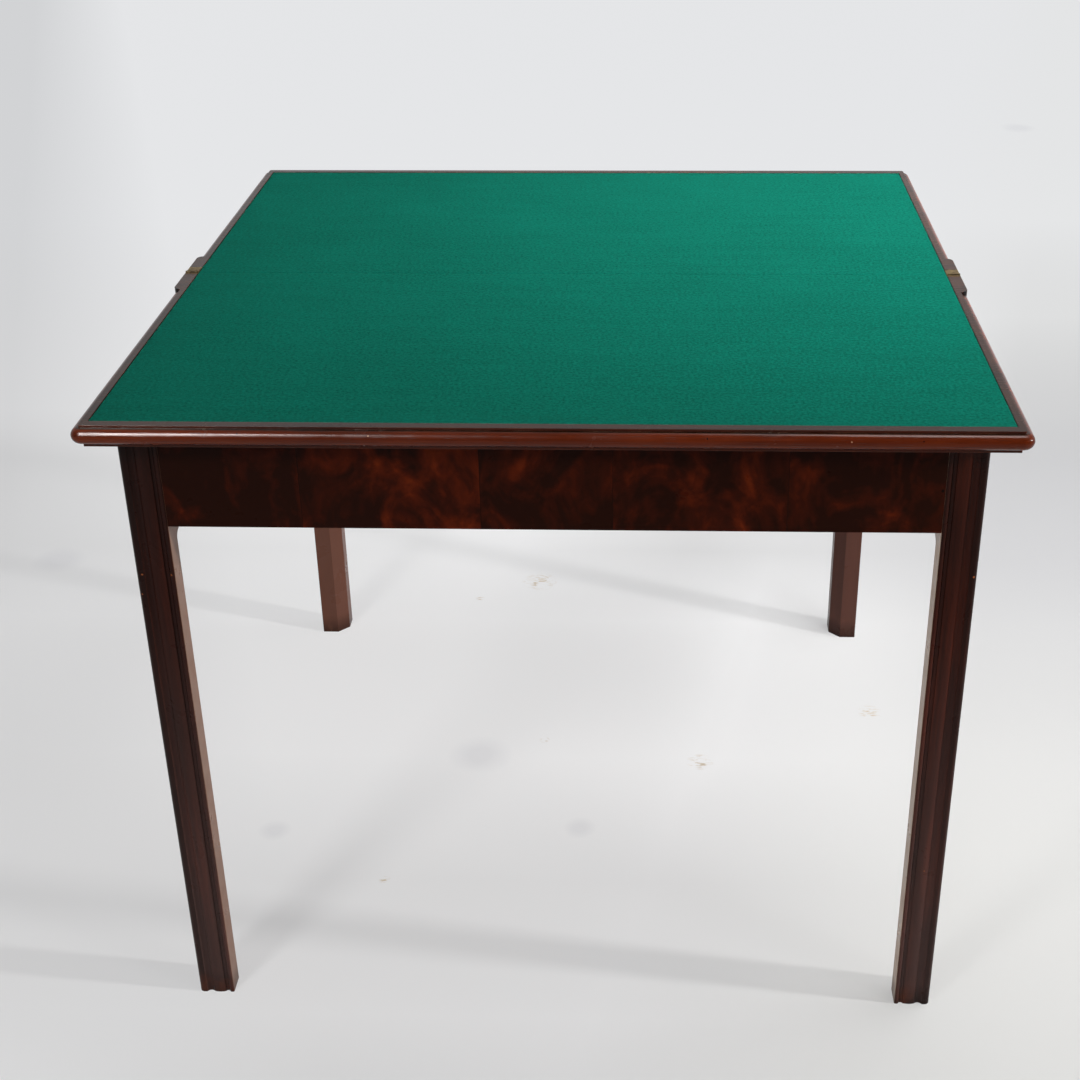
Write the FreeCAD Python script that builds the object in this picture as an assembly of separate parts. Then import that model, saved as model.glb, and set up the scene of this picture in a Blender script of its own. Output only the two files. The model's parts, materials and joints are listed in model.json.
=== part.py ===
"""Fold-over card table in mahogany, opened for play, in millimetres.

The origin is on the floor under the middle of the hinge line, +X to the right and +Y to the rear.
The lower leaf and the front legs stand in front of the hinge line. The upper leaf lies unfolded behind
it, on a rear frame that is drawn out on concertina flaps hung on vertical hinge pins.
"""

import FreeCAD, Part
import math
import os
from FreeCAD import Vector

os.makedirs("parts", exist_ok=True)

# Overall sizes
top_width = 915.0
leaf_depth = 457.5
table_height = 730.0
leaf_thickness = 23.0

# Clearances between moving pieces, and the overrun of every cut
running_gap = 0.3
pin_running_gap = 0.05
cut_overrun = 5.0

# Leaf edge, measured inwards from its outermost line and down from the playing side
border_inset = 8.4
front_border_width = 10.6
side_border_width = 6.6
quirk_drop = 2.6
torus_radius = 7.9
fillet_inset = 10.6
ear_length = 60.0
ear_corner_radius = 8.0
corner_core_radius = 0.6

# Baize in its sunk panel
baize_thickness = 1.2
baize_recess = 1.5
baize_edge_gap = 0.3

# Frame under the leaves
side_overhang = 35.0
front_overhang = 30.0
rear_overhang = 30.0
closed_rear_overhang = 30.0
frieze_depth = 96.0
rail_thickness = 22.0
side_rail_thickness = 20.0
veneer_thickness = 1.5
tenon_thickness = 8.0
tenon_length = 22.0
tenon_shoulder = 12.0
housing_depth = 6.0
panel_shares = (0.177, 0.232, 0.170, 0.223, 0.198)

# Legs, with shares of the leg's width counted from its outer corner
leg_size = 40.0
leg_corner_radius = 5.0
hollow_depth = 2.8
round_edge_drop = 1.0
hollow_start_shares = (0.21, 0.755)
hollow_width_shares = (0.22, 0.125)
chamfer_width = 16.0
chamfer_top_gap = 10.0
chamfer_stop_length = 16.0

# Concertina flaps and their butt hinges
flap_thickness = 20.0
face_to_pin = 0.3
joint_gap = 0.6
hinge_height = 72.0
hinge_leaf_width = 17.0
hinge_leaf_thickness = 2.0
knuckle_radius = 3.0
knuckle_gap = 0.3
hinge_pin_radius = 1.4
knuckle_count = 3

# Card-table hinges let into the ears of both leaves
card_pin_radius = 0.8
card_knuckle_radius = 1.7
card_block_width = 15.0
card_block_depth = 11.0
card_lower_block_length = 5.0
card_upper_block_length = 19.0
card_strap_length = 48.0
card_strap_height = 13.0
card_strap_thickness = 2.5
card_strap_drop = 5.0
card_strap_inset = 0.3

# Blocks glued into the corners and under the lower leaf
corner_block_size = 15.0
corner_block_margin = 12.0
leaf_block_width = 40.0
leaf_block_reach = 28.0
leaf_block_height = 30.0
front_block_place = 265.0
side_block_place_share = 0.45

# Bearer slide, its keepers and the cross rail that it runs over
slide_width = 260.0
slide_thickness = 14.0
slide_length = 365.0
keeper_web = 12.0
keeper_lip_reach = 10.0
keeper_lip_thickness = 8.0
cross_rail_setback = 6.0
cleat_length = 70.0
cleat_width = 14.0
cleat_height = 10.0
cleat_edge_place = 24.0
cleat_rear_room = 57.5

# Places that follow from the sizes above
half_width = top_width / 2
frame_half = half_width - side_overhang
underside = table_height - leaf_thickness
frieze_bottom = underside - frieze_depth
front_face = front_overhang - leaf_depth
rear_face = leaf_depth - rear_overhang
moving_top = underside - running_gap
hinge_middle = frieze_bottom + frieze_depth / 2
baize_front_inset = border_inset + front_border_width
baize_side_inset = border_inset + side_border_width
plan_corner_radius = max(border_inset, fillet_inset) + corner_core_radius

# Pin lines of the concertina. The pins of the front and rear joints lie just inside the rails' inner
# faces and those of the middle joint just outside the flaps' outer faces, so the rear frame keeps
# straight while it travels, and its travel brings it under the lower leaf.
pin_spread = flap_thickness + 2 * face_to_pin
frame_travel = rear_face + closed_rear_overhang
flap_pitch = frame_travel / 2 + pin_spread
inner_pin_x = frame_half - flap_thickness - face_to_pin
outer_pin_x = frame_half + face_to_pin
rear_pin_y = rear_face - leg_size - joint_gap / 2
middle_pin_y = rear_pin_y - flap_pitch
front_pin_y = middle_pin_y - flap_pitch
leaf_hinge_z = table_height + running_gap / 2


def box(x_range, y_range, z_range):
    """A block between two values on each axis, in either order."""
    low = Vector(min(x_range), min(y_range), min(z_range))
    high = Vector(max(x_range), max(y_range), max(z_range))
    size = high - low
    return Part.makeBox(size.x, size.y, size.z, low)


def upright(radius, x, y, z_range):
    """A vertical cylinder."""
    return Part.makeCylinder(radius, max(z_range) - min(z_range), Vector(x, y, min(z_range)))


def level(radius, y, z, x_range):
    """A cylinder along X."""
    start = Vector(min(x_range), y, z)
    return Part.makeCylinder(radius, max(x_range) - min(x_range), start, Vector(1, 0, 0))


def prism(points, direction):
    """The outline through the points, closed with straight lines and drawn out along the direction."""
    wire = Part.makePolygon(list(points) + [points[0]])
    return Part.Face(wire).extrude(direction)


def arc(start, middle, end):
    return Part.Arc(start, middle, end).toShape()


def line(start, end):
    return Part.LineSegment(start, end).toShape()


def mirror_x(shape):
    return shape.mirror(Vector(0, 0, 0), Vector(1, 0, 0))


def mirror_y(shape):
    return shape.mirror(Vector(0, 0, 0), Vector(0, 1, 0))


def cut_all(shape, cutters):
    for cutter in cutters:
        shape = shape.cut(cutter)
    return shape


def fuse_all(shapes):
    whole = shapes[0]
    for shape in shapes[1:]:
        whole = whole.fuse(shape)
    return whole.removeSplitter()


def save(node, shape):
    shape.exportStep("parts/" + node + ".step")


def save_pair(name, left_shape):
    """The left-hand piece and its mirror image on the right."""
    save("left_" + name, left_shape)
    save("right_" + name, mirror_x(left_shape))


def both_sides(shapes):
    """One group of the left-hand solids and their mirror images."""
    return Part.makeCompound(list(shapes) + [mirror_x(shape) for shape in shapes])


# Legs


def leg_face_edges(place):
    """One moulded face, a flat band, two hollows, the round between them and a bead at the inner edge."""
    first, second = [share * leg_size for share in hollow_start_shares]
    first_width, second_width = [share * leg_size for share in hollow_width_shares]
    round_middle = (first + first_width + second) / 2
    bead_middle = (second + second_width + leg_size) / 2
    round_start = place(first + first_width, round_edge_drop)
    round_end = place(second, round_edge_drop)
    bead_start = place(second + second_width, round_edge_drop)
    return [
        line(place(leg_corner_radius, 0), place(first, 0)),
        arc(place(first, 0), place(first + first_width / 2, hollow_depth), round_start),
        arc(round_start, place(round_middle, 0), round_end),
        arc(round_end, place(second + second_width / 2, hollow_depth), bead_start),
        arc(bead_start, place(bead_middle, 0), place(leg_size, round_edge_drop)),
    ]


def leg_section():
    """The leg's section with its outer corner at the origin."""
    corner_inset = leg_corner_radius * (1 - math.sqrt(0.5))
    front = leg_face_edges(lambda along, depth: Vector(along, depth, 0))
    side = leg_face_edges(lambda along, depth: Vector(depth, along, 0))
    corner_start = Vector(leg_corner_radius, 0, 0)
    corner_end = Vector(0, leg_corner_radius, 0)
    corner = arc(corner_start, Vector(corner_inset, corner_inset, 0), corner_end)
    inner = [
        line(Vector(leg_size, round_edge_drop, 0), Vector(leg_size, leg_size, 0)),
        line(Vector(leg_size, leg_size, 0), Vector(round_edge_drop, leg_size, 0)),
    ]
    edges = Part.__sortEdges__(front + side + [corner] + inner)
    return Part.Face(Part.Wire(edges))


def chamfer_cutter():
    """The stopped chamfer on the inner corner, which runs out in an ogee below the frieze."""
    depth = chamfer_width / math.sqrt(2)
    stop_top = frieze_bottom - chamfer_top_gap
    stop_bottom = stop_top - chamfer_stop_length
    radius = (chamfer_stop_length**2 + depth**2) / (4 * depth)
    sweep = math.asin(chamfer_stop_length / (2 * radius))
    bulge = radius * (1 - math.cos(sweep / 2))
    rise = radius * math.sin(sweep / 2)

    def place(outwards, height):
        across = leg_size + outwards / math.sqrt(2)
        return Vector(across, across, height)

    middle = place(-depth / 2, (stop_bottom + stop_top) / 2)
    edges = [
        line(place(-depth, -cut_overrun), place(-depth, stop_bottom)),
        arc(place(-depth, stop_bottom), place(bulge - depth, stop_bottom + rise), middle),
        arc(middle, place(-bulge, stop_top - rise), place(0, stop_top)),
        line(place(0, stop_top), place(cut_overrun, stop_top)),
        line(place(cut_overrun, stop_top), place(cut_overrun, -cut_overrun)),
        line(place(cut_overrun, -cut_overrun), place(-depth, -cut_overrun)),
    ]
    across = Vector(1, -1, 0).normalize() * (depth + cut_overrun)
    face = Part.Face(Part.Wire(edges))
    face.translate(across * -1)
    return face.extrude(across * 2)


def leg(height):
    """A leg whose outer corner stands on the origin."""
    return leg_section().extrude(Vector(0, 0, height)).cut(chamfer_cutter())


# Rails and their tenons


def tenon_heights(top):
    return frieze_bottom + tenon_shoulder, top - tenon_shoulder


def rail_between_legs(y_range, top):
    """A rail across the table with a tenon at each end, and those two tenons by themselves."""
    shoulder = frame_half - leg_size
    y_middle = sum(y_range) / 2
    y_tenon = (y_middle - tenon_thickness / 2, y_middle + tenon_thickness / 2)
    tenon = box((-shoulder - tenon_length, -shoulder), y_tenon, tenon_heights(top))
    rail = box((-shoulder, shoulder), y_range, (frieze_bottom, top))
    return fuse_all([rail, tenon, mirror_x(tenon)]), tenon


def side_rail_tenon():
    x_middle = side_rail_thickness / 2 - frame_half
    y_shoulder = front_face + leg_size
    return box(
        (x_middle - tenon_thickness / 2, x_middle + tenon_thickness / 2),
        (y_shoulder - tenon_length, y_shoulder),
        tenon_heights(underside),
    )


# Butt hinges on vertical pins


def hinge_heights():
    return hinge_middle - hinge_height / 2, hinge_middle + hinge_height / 2


def knuckle_span(index):
    pitch = hinge_height / knuckle_count
    bottom = hinge_heights()[0] + index * pitch
    return bottom + knuckle_gap / 2, bottom + pitch - knuckle_gap / 2


def butt_leaf(pin_x, pin_y, toward, member, holds_pin):
    """One leaf of a butt hinge.

    toward is the way along X from the pin into the wood. member is -1 for the leaf in front of the
    joint and 1 for the one behind it. The leaf that holds the pin has the outer knuckles.
    """
    near = pin_y + member * joint_gap / 2
    y_range = (near, near + member * hinge_leaf_thickness)
    barrel_side = pin_x + toward * (knuckle_radius + knuckle_gap)
    pieces = [box((barrel_side, pin_x + toward * hinge_leaf_width), y_range, hinge_heights())]
    first = 0 if holds_pin else 1
    for index in range(first, knuckle_count, 2):
        span = knuckle_span(index)
        pieces.append(upright(knuckle_radius, pin_x, pin_y, span))
        pieces.append(box((pin_x, pin_x + toward * 2 * knuckle_radius), y_range, span))
    bore = hinge_pin_radius if holds_pin else hinge_pin_radius + pin_running_gap
    return fuse_all(pieces).cut(upright(bore, pin_x, pin_y, hinge_heights()))


def butt_pin(pin_x, pin_y):
    return upright(hinge_pin_radius, pin_x, pin_y, hinge_heights())


def barrel_room(pin_x, pin_y):
    """The round groove that the wood leaves for the knuckles."""
    low, high = hinge_heights()
    heights = (low - knuckle_gap, high + knuckle_gap)
    return upright(knuckle_radius + 2 * knuckle_gap, pin_x, pin_y, heights)


def leaf_seat(pin_x, pin_y, toward, member):
    """The shallow recess in the wood that takes one hinge leaf flush."""
    near = pin_y + member * joint_gap / 2
    y_range = (near, near + member * hinge_leaf_thickness)
    return box((pin_x, pin_x + toward * hinge_leaf_width), y_range, hinge_heights())


def hinge_side(pin_x, pin_y, toward, member, holds_pin):
    """One hinge leaf, and the cutters that seat it in the wood."""
    plate = butt_leaf(pin_x, pin_y, toward, member, holds_pin)
    return plate, [leaf_seat(pin_x, pin_y, toward, member), barrel_room(pin_x, pin_y)]


# Leaves


def moulded_edge(place):
    """Edges of the torus moulding from the playing side down to the underside."""
    torus_middle = quirk_drop + torus_radius
    torus_bottom = torus_middle + torus_radius
    return [
        line(place(border_inset, 0), place(border_inset, quirk_drop)),
        line(place(border_inset, quirk_drop), place(torus_radius, quirk_drop)),
        arc(place(torus_radius, quirk_drop), place(0, torus_middle), place(torus_radius, torus_bottom)),
        line(place(torus_radius, torus_bottom), place(fillet_inset, torus_bottom)),
        line(place(fillet_inset, torus_bottom), place(fillet_inset, leaf_thickness)),
    ]


def leaf_section_along_x():
    """The section in a plane across Y, moulded at the front edge and square at the hinge line."""
    back = -joint_gap / 2

    def place(inset, drop):
        return Vector(0, inset - leaf_depth, table_height - drop)

    edges = moulded_edge(place) + [
        line(place(fillet_inset, leaf_thickness), Vector(0, back, underside)),
        line(Vector(0, back, underside), Vector(0, back, table_height)),
        line(Vector(0, back, table_height), place(border_inset, 0)),
    ]
    return Part.Face(Part.Wire(edges))


def leaf_section_across():
    """The section in a plane across X, moulded at both sides."""

    def left(inset, drop):
        return Vector(inset - half_width, 0, table_height - drop)

    def right(inset, drop):
        return Vector(half_width - inset, 0, table_height - drop)

    edges = moulded_edge(left) + moulded_edge(right) + [
        line(left(border_inset, 0), right(border_inset, 0)),
        line(left(fillet_inset, leaf_thickness), right(fillet_inset, leaf_thickness)),
    ]
    return Part.Face(Part.Wire(Part.__sortEdges__(edges)))


def baize_recess_box(edge_gap, depth_range):
    edge = half_width - baize_side_inset - edge_gap
    front = baize_front_inset + edge_gap - leaf_depth
    return box((-edge, edge), (front, -joint_gap / 2 - edge_gap), depth_range)


def moulded_corner():
    """The left front corner, with the edge moulding turned round the corner's upright axis."""
    axis_x = plan_corner_radius - half_width
    axis_y = plan_corner_radius - leaf_depth

    def place(inset, drop):
        return Vector(inset - half_width, axis_y, table_height - drop)

    edges = moulded_edge(place) + [
        line(place(fillet_inset, leaf_thickness), Vector(axis_x, axis_y, underside)),
        line(Vector(axis_x, axis_y, underside), Vector(axis_x, axis_y, table_height)),
        line(Vector(axis_x, axis_y, table_height), place(border_inset, 0)),
    ]
    face = Part.Face(Part.Wire(edges))
    return face.revolve(Vector(axis_x, axis_y, 0), Vector(0, 0, 1), 90)


def ear_block():
    """Both ears in one block, with their front corners rounded."""
    block = box((-half_width, half_width), (-ear_length, -joint_gap / 2), (underside, table_height))
    front_edges = [
        edge for edge in block.Edges
        if edge.BoundBox.ZLength > leaf_thickness / 2 and edge.BoundBox.YMax < -ear_length / 2
    ]
    return block.makeFillet(ear_corner_radius, front_edges)


def leaf_board():
    """The front leaf with its moulded edges, plain ears at the hinge line and the sunk panel."""
    run_start = plan_corner_radius - half_width
    along = leaf_section_along_x()
    along.translate(Vector(run_start, 0, 0))
    front_run = along.extrude(Vector(-2 * run_start, 0, 0))
    across = leaf_section_across()
    across.translate(Vector(0, plan_corner_radius - leaf_depth, 0))
    side_runs = across.extrude(Vector(0, leaf_depth - plan_corner_radius - joint_gap / 2, 0))
    corner = moulded_corner()
    board = fuse_all([front_run, side_runs, corner, mirror_x(corner), ear_block()])
    recess = box(
        (baize_side_inset - half_width, half_width - baize_side_inset),
        (baize_front_inset - leaf_depth, cut_overrun),
        (table_height - baize_recess, table_height + cut_overrun),
    )
    return board.cut(recess).removeSplitter()


def baize_sheet():
    """The cloth let into the front leaf."""
    bottom = table_height - baize_recess
    return baize_recess_box(baize_edge_gap, (bottom, bottom + baize_thickness))


# Card-table hinges, built on the left ear of the front leaf


def card_strap_heights():
    top = table_height - card_strap_drop
    return top - card_strap_height, top


def card_knuckle_range(inner):
    """One half's knuckle along the pin, outside for the lower leaf and inside for the upper."""
    length = (card_block_width - 2 * running_gap) / 2
    start = inner * (length + running_gap) - half_width
    return start, start + length


def card_hinge_half(block_length, inner):
    """Strap, block and knuckle of one half, drawn on the front leaf's left ear."""
    outer = -half_width
    y_face = -joint_gap / 2
    strap_x = (outer + card_strap_inset, outer + card_strap_thickness)
    strap = box(strap_x, (-card_strap_length, y_face), card_strap_heights())
    block_heights = (table_height - card_block_depth, table_height)
    block = box((outer, outer + card_block_width), (-block_length, y_face), block_heights)
    room_range = (outer - cut_overrun, outer + card_block_width + cut_overrun)
    room = level(card_knuckle_radius + running_gap, 0, leaf_hinge_z, room_range)
    x_range = card_knuckle_range(inner)
    knuckle = level(card_knuckle_radius, 0, leaf_hinge_z, x_range)
    web_heights = (table_height - card_knuckle_radius, table_height)
    web = box(x_range, (-2 * card_knuckle_radius, y_face), web_heights)
    bore = level(card_pin_radius + inner * pin_running_gap, 0, leaf_hinge_z, x_range)
    return fuse_all([strap.fuse(block).cut(room), knuckle, web]).cut(bore)


def card_cutters(block_length):
    """What a leaf's left ear loses to the hinge half let into it."""
    outer = -half_width
    strap_x = (outer - cut_overrun, outer + card_strap_thickness)
    strap = box(strap_x, (-card_strap_length, cut_overrun), card_strap_heights())
    block_x = (outer - cut_overrun, outer + card_block_width)
    block_heights = (table_height - card_block_depth, table_height + cut_overrun)
    block = box(block_x, (-block_length, cut_overrun), block_heights)
    return [strap, block]


def card_pin():
    return level(card_pin_radius, 0, leaf_hinge_z, (-half_width, card_knuckle_range(1)[1]))


def build_leaves():
    board = leaf_board()
    for node, block_length, inner, turn in (
        ("lower", card_lower_block_length, 0, lambda shape: shape),
        ("upper", card_upper_block_length, 1, mirror_y),
    ):
        cutters = card_cutters(block_length)
        cutters += [mirror_x(cutter) for cutter in cutters]
        save(node + "_leaf", turn(cut_all(board, cutters)))
        save(node + "_baize", turn(baize_sheet()))
        save_pair("card_hinge_" + node, turn(card_hinge_half(block_length, inner)))
    save("card_hinge_pins", both_sides([card_pin()]))


# Front frame


def front_rail_range():
    return front_face + veneer_thickness, front_face + veneer_thickness + rail_thickness


def cross_rail_range():
    back = front_pin_y - cross_rail_setback
    return back - rail_thickness, back


def slide_bottom():
    return underside - running_gap - slide_thickness


def leaf_block_solids():
    """Blocks glued into the angle under the lower leaf, on the left half of the frame."""
    heights = (underside - leaf_block_height, underside)
    inner_face = front_rail_range()[1]
    side_face = side_rail_thickness - frame_half
    side_middle = inner_face + side_block_place_share * (front_pin_y - inner_face)
    half = leaf_block_width / 2
    front_x = (-front_block_place - half, -front_block_place + half)
    front = box(front_x, (inner_face, inner_face + leaf_block_reach), heights)
    side_x = (side_face, side_face + leaf_block_reach)
    side = box(side_x, (side_middle - half, side_middle + half), heights)
    return [front, side]


def corner_block(y_corner, into):
    """A triangular glue block between a leg's inner face and a rail, from y_corner along into."""
    x = leg_size - frame_half
    low = frieze_bottom + corner_block_margin
    height = frieze_depth - 2 * corner_block_margin
    points = [
        Vector(x, y_corner, low),
        Vector(x + corner_block_size, y_corner, low),
        Vector(x, y_corner + into * corner_block_size, low),
    ]
    return prism(points, Vector(0, 0, height))


def frieze_panels():
    """The front frieze's veneer in matched panels, side by side."""
    shoulder = frame_half - leg_size
    total = sum(panel_shares)
    y_range = (front_face, front_rail_range()[0])
    panels = []
    start = -shoulder
    for share in panel_shares:
        end = start + 2 * shoulder * share / total
        panels.append(box((start, end), y_range, (frieze_bottom, underside)))
        start = end
    return Part.makeCompound(panels)


def build_front_frame():
    rail, rail_tenon = rail_between_legs(front_rail_range(), underside)
    side_tenon = side_rail_tenon()
    save("front_rail", rail)
    save("front_frieze_veneer", frieze_panels())

    front_leg = leg(underside)
    front_leg.translate(Vector(-frame_half, front_face, 0))
    save_pair("front_leg", cut_all(front_leg, [rail_tenon, side_tenon]))

    hinge_leaf, cutters = hinge_side(-inner_pin_x, front_pin_y, -1, -1, True)
    save_pair("front_hinge_rail_leaf", hinge_leaf)
    save("front_hinge_pins", both_sides([butt_pin(-inner_pin_x, front_pin_y)]))

    inner_face = side_rail_thickness - frame_half
    cross_end = inner_face - housing_depth
    cross_heights = (frieze_bottom, slide_bottom() - running_gap)
    cross_rail = box((cross_end, -cross_end), cross_rail_range(), cross_heights)
    save("cross_rail", cross_rail)
    side_run = (front_face + leg_size, front_pin_y - joint_gap / 2)
    side_rail = box((-frame_half, inner_face), side_run, (frieze_bottom, underside))
    side_rail = fuse_all([side_rail, side_tenon])
    save_pair("side_rail", cut_all(side_rail, cutters + [cross_rail]))

    save("leaf_blocks", both_sides(leaf_block_solids()))
    save("front_corner_blocks", both_sides([corner_block(front_rail_range()[1], 1)]))


# Bearer slide


def finger_cleat(front):
    """The batten under the slide that the fingers draw it out by."""
    near = front + cleat_edge_place
    heights = (slide_bottom() - cleat_height, slide_bottom())
    return box((-cleat_length / 2, cleat_length / 2), (near, near + cleat_width), heights)


def build_slide():
    """The slide at rest, drawn back until its cleat is near the cross rail."""
    half = slide_width / 2
    front = cross_rail_range()[0] - cleat_rear_room - cleat_width - cleat_edge_place
    slide_heights = (slide_bottom(), slide_bottom() + slide_thickness)
    save("bearer_slide", box((-half, half), (front, front + slide_length), slide_heights))

    web_x = (-half - running_gap - keeper_web, -half - running_gap)
    lip_x = (web_x[0], -half + keeper_lip_reach)
    lip_top = slide_bottom() - running_gap
    lip_bottom = lip_top - keeper_lip_thickness
    run = (front_rail_range()[1], cross_rail_range()[0])
    web = box(web_x, run, (lip_bottom, underside))
    lip = box(lip_x, run, (lip_bottom, lip_top))
    save("slide_keepers", both_sides([fuse_all([web, lip])]))

    save("slide_cleat", finger_cleat(front))


# Concertina flaps


def flap(y_range):
    return box((-frame_half, flap_thickness - frame_half), y_range, (frieze_bottom, moving_top))


def build_flaps():
    half_gap = joint_gap / 2
    front_leaf, front_seat = hinge_side(-inner_pin_x, front_pin_y, -1, 1, False)
    middle_leaf, middle_seat = hinge_side(-outer_pin_x, middle_pin_y, 1, -1, True)
    front_flap = flap((front_pin_y + half_gap, middle_pin_y - half_gap))
    save_pair("front_flap", cut_all(front_flap, front_seat + middle_seat))
    save_pair("front_hinge_flap_leaf", front_leaf)
    save_pair("middle_hinge_front_leaf", middle_leaf)
    save_pair("middle_hinge_pin", butt_pin(-outer_pin_x, middle_pin_y))

    middle_leaf, middle_seat = hinge_side(-outer_pin_x, middle_pin_y, 1, 1, False)
    rear_leaf, rear_seat = hinge_side(-inner_pin_x, rear_pin_y, -1, -1, False)
    rear_flap = flap((middle_pin_y + half_gap, rear_pin_y - half_gap))
    save_pair("rear_flap", cut_all(rear_flap, middle_seat + rear_seat))
    save_pair("middle_hinge_rear_leaf", middle_leaf)
    save_pair("rear_hinge_flap_leaf", rear_leaf)


# Rear frame


def slide_notch(rail_range):
    """What the rear rail's top edge loses, so that it passes under the slide as it closes."""
    half = slide_width / 2 + running_gap
    y_range = (rail_range[0] - cut_overrun, rail_range[1] + cut_overrun)
    return box((-half, half), y_range, (slide_bottom() - running_gap, moving_top + cut_overrun))


def build_rear_frame():
    y_range = (rear_face - rail_thickness, rear_face)
    rail, tenon = rail_between_legs(y_range, moving_top)
    save("rear_rail", rail.cut(slide_notch(y_range)))
    hinge_leaf, cutters = hinge_side(-inner_pin_x, rear_pin_y, -1, 1, True)
    rear_leg = mirror_y(leg(moving_top))
    rear_leg.translate(Vector(-frame_half, rear_face, 0))
    save_pair("rear_leg", cut_all(rear_leg, [tenon] + cutters))
    save_pair("rear_hinge_leg_leaf", hinge_leaf)
    save("rear_hinge_pins", both_sides([butt_pin(-inner_pin_x, rear_pin_y)]))
    save("rear_corner_blocks", both_sides([corner_block(y_range[0], -1)]))


build_leaves()
build_front_frame()
build_slide()
build_flaps()
build_rear_frame()
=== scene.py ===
"""Looks of the fold-over card table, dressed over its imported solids. All lengths are in metres."""

import json
import math
import random

import bmesh
import bpy
from mathutils import Matrix, Vector, noise


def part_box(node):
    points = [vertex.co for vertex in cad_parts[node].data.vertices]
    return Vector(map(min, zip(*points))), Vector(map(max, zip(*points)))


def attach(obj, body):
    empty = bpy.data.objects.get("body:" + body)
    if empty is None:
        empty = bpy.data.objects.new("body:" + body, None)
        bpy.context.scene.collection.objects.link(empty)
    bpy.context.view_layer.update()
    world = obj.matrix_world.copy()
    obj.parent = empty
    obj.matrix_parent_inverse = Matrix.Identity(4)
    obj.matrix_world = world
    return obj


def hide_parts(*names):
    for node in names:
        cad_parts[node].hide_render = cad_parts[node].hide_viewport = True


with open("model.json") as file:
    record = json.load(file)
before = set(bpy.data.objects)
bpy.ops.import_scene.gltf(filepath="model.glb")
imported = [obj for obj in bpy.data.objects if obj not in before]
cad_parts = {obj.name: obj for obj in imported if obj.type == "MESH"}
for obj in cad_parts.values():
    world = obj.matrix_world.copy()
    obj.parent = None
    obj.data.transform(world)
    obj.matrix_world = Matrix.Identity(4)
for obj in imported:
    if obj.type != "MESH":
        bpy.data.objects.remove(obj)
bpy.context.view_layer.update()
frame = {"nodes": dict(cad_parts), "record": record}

# Camera fitted to the photograph, and the image it was fitted in
IMAGE_SIDE = 1080
FOCAL_PIXELS = 1668.44
PRINCIPAL_X = 592.95
SENSOR_WIDTH = 36
CAMERA_PLACE = (0.0962, -1.8874, 1.3709)
CAMERA_YAW = -2.179
CAMERA_PITCH = 27.817
CAMERA_ROLL = -0.512

# Places on the table
TABLE_TOP = 0.730
VENEER_SEAMS = (-0.2471, -0.0696, 0.0604, 0.2310)
LEG_OUTER_X = 0.4225
LEG_OUTER_Y = 0.4275
LEG_SIZE = 0.040
CHAMFER_INSET = 0.0160
LEG_BAND = 0.0084
BLOCK_REAR_Y = 0.0193
BLOCK_INNER_X = 0.4415


def linear(red, green, blue):
    """A colour given as 0 to 255 screen values, as the linear one that shaders take."""
    def channel(value):
        value /= 255
        return value / 12.92 if value <= 0.04045 else ((value + 0.055) / 1.055) ** 2.4

    return (channel(red), channel(green), channel(blue), 1.0)


def darker(colour, share):
    """A colour brought down to a share of its light."""
    return tuple(share * channel for channel in colour[:3]) + (1.0,)


# Camera and lamps

LAMPS = {
    "key": {
        "place": (3.3, -0.8, 1.7), "aim": (0, 0, 0.45), "size": (0.18, 0.18),
        "power": 78, "colour": (1.0, 0.99, 0.97),
    },
    "fill": {
        "place": (1.9, -1.5, 2.3), "aim": (0, 0, 0.3), "size": (0.5, 0.5),
        "power": 8, "colour": (1.0, 0.99, 0.98), "gloss": False,
    },
    "overhead": {
        "place": (0.83, 0.13, 2.35), "aim": (0.56, 0.58, 0.73), "size": (1.1, 1.1),
        "power": 17.2, "colour": (1.0, 1.0, 0.99), "spread": 90,
    },
    "front": {
        "place": (-1.3, -2.2, 2.5), "aim": (-0.2, -0.3, 0.6), "size": (0.5, 0.5),
        "power": 25, "colour": (1.0, 0.99, 0.97), "gloss": False,
    },
    "glint": {
        "place": (-1.35, -2.2, 2.5), "aim": (-0.45, -0.45, 0.72), "size": (0.7, 1.5),
        "power": 215, "colour": (1.0, 0.98, 0.97), "diffuse": False,
    },
}


def make_camera():
    yaw, pitch, roll = (math.radians(angle) for angle in (CAMERA_YAW, CAMERA_PITCH, CAMERA_ROLL))
    forward = Vector((math.sin(yaw) * math.cos(pitch), math.cos(yaw) * math.cos(pitch), -math.sin(pitch)))
    level = Vector((math.cos(yaw), -math.sin(yaw), 0))
    upright = level.cross(forward)
    right = math.cos(roll) * level + math.sin(roll) * upright
    up = math.cos(roll) * upright - math.sin(roll) * level
    turn = Matrix((right, up, -forward)).transposed()
    data = bpy.data.cameras.new("camera")
    data.sensor_width = SENSOR_WIDTH
    data.lens = FOCAL_PIXELS / IMAGE_SIDE * SENSOR_WIDTH
    data.shift_x = (IMAGE_SIDE / 2 - PRINCIPAL_X) / IMAGE_SIDE
    camera = bpy.data.objects.new("camera", data)
    camera.matrix_world = Matrix.Translation(CAMERA_PLACE) @ turn.to_4x4()
    bpy.context.scene.collection.objects.link(camera)
    bpy.context.scene.camera = camera


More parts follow.
